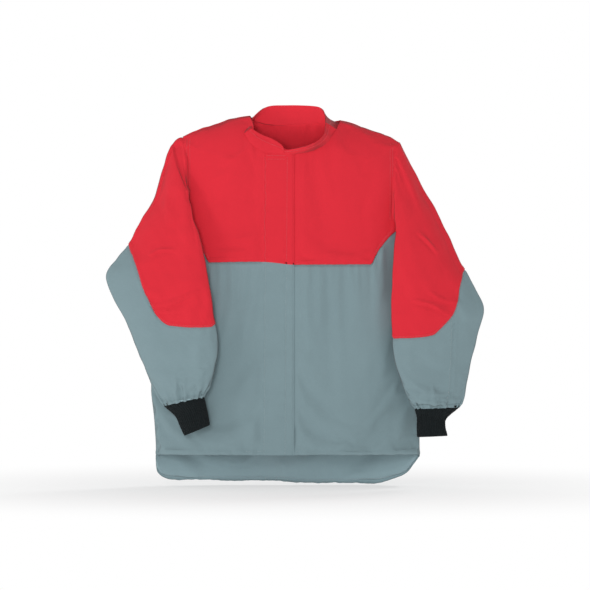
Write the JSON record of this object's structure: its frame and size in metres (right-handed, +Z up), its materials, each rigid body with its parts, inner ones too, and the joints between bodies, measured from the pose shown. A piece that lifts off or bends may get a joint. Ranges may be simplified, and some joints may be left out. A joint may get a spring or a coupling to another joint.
{
  "type": "work jacket",
  "caption": "Two-tone flame-resistant work jacket with stand collar, hook-and-loop front placket, drop tail and knit cuffs; fronts open, sleeves lift and bend",
  "frame": {"origin": "below the middle of the jacket's bounding box in X and Y, at the lowest edge of the drop tail in Z", "axes": "+X towards the wearer's left, +Y towards the back, +Z up along the centre back"},
  "size_m": [0.8466, 0.1403, 0.8607],
  "materials": {
    "red_cloth": "matte woven twill",
    "grey_cloth": "matte woven twill",
    "rib_knit": "matte ribbed knit",
    "closure_tape": "matte hook and loop"
  },
  "bodies": {
    "torso": {"back_yoke": "red_cloth", "back_panel": "grey_cloth", "right_yoke_side": "red_cloth", "right_panel_side": "grey_cloth", "left_yoke_side": "red_cloth", "left_panel_side": "grey_cloth", "collar_back": "red_cloth", "right_sleeve_cap": "red_cloth", "left_sleeve_cap": "red_cloth"},
    "right_front": {"right_yoke_front": "red_cloth", "right_panel_front": "grey_cloth", "placket_strip_top": "red_cloth", "placket_strip_bottom": "grey_cloth", "right_front_facing": "red_cloth", "hook_tape": "closure_tape", "collar_right": "red_cloth"},
    "left_front": {"left_yoke_front": "red_cloth", "left_panel_front": "grey_cloth", "left_front_facing": "red_cloth", "loop_tape": "closure_tape", "collar_left": "red_cloth"},
    "right_upper_arm": {"right_upper_sleeve": "red_cloth", "right_elbow_front": "red_cloth"},
    "right_lower_arm": {"right_elbow_back": "grey_cloth", "right_forearm": "grey_cloth", "right_cuff": "rib_knit"},
    "left_upper_arm": {"left_upper_sleeve": "red_cloth", "left_elbow_front": "red_cloth"},
    "left_lower_arm": {"left_elbow_back": "grey_cloth", "left_forearm": "grey_cloth", "left_cuff": "rib_knit"}
  },
  "joints": [
    {"name": "right_front_open", "type": "hinge", "parent": "torso", "child": "right_front", "pos_m": [-0.1554, -0.0228, 0.07], "axis": [-0.0539, 0, -0.9985], "range_deg": [0, 90]},
    {"name": "left_front_open", "type": "hinge", "parent": "torso", "child": "left_front", "pos_m": [0.1346, -0.0228, 0.07], "axis": [-0.0539, 0, 0.9985], "range_deg": [0, 27]},
    {"name": "right_shoulder", "type": "hinge", "parent": "torso", "child": "right_upper_arm", "pos_m": [-0.2729, -0.0058, 0.62], "axis": [0, 1, 0], "range_deg": [0, 45], "deforming": ["right_sleeve_cap"]},
    {"name": "left_shoulder", "type": "hinge", "parent": "torso", "child": "left_upper_arm", "pos_m": [0.2696, -0.0058, 0.6], "axis": [0, -1, 0], "range_deg": [0, 45], "deforming": ["left_sleeve_cap"]},
    {"name": "right_elbow", "type": "hinge", "parent": "right_upper_arm", "child": "right_lower_arm", "pos_m": [-0.2954, -0.0358, 0.44], "axis": [-1, 0, 0], "range_deg": [0, 90], "deforming": ["right_elbow_front", "right_elbow_back"]},
    {"name": "left_elbow", "type": "hinge", "parent": "left_upper_arm", "child": "left_lower_arm", "pos_m": [0.3146, -0.0318, 0.42], "axis": [-1, 0, 0], "range_deg": [0, 90], "deforming": ["left_elbow_front", "left_elbow_back"]}
  ],
  "couplings": [
    {"joint": "left_front_open", "follows": "right_front_open", "ratio": 0.3}
  ]
}
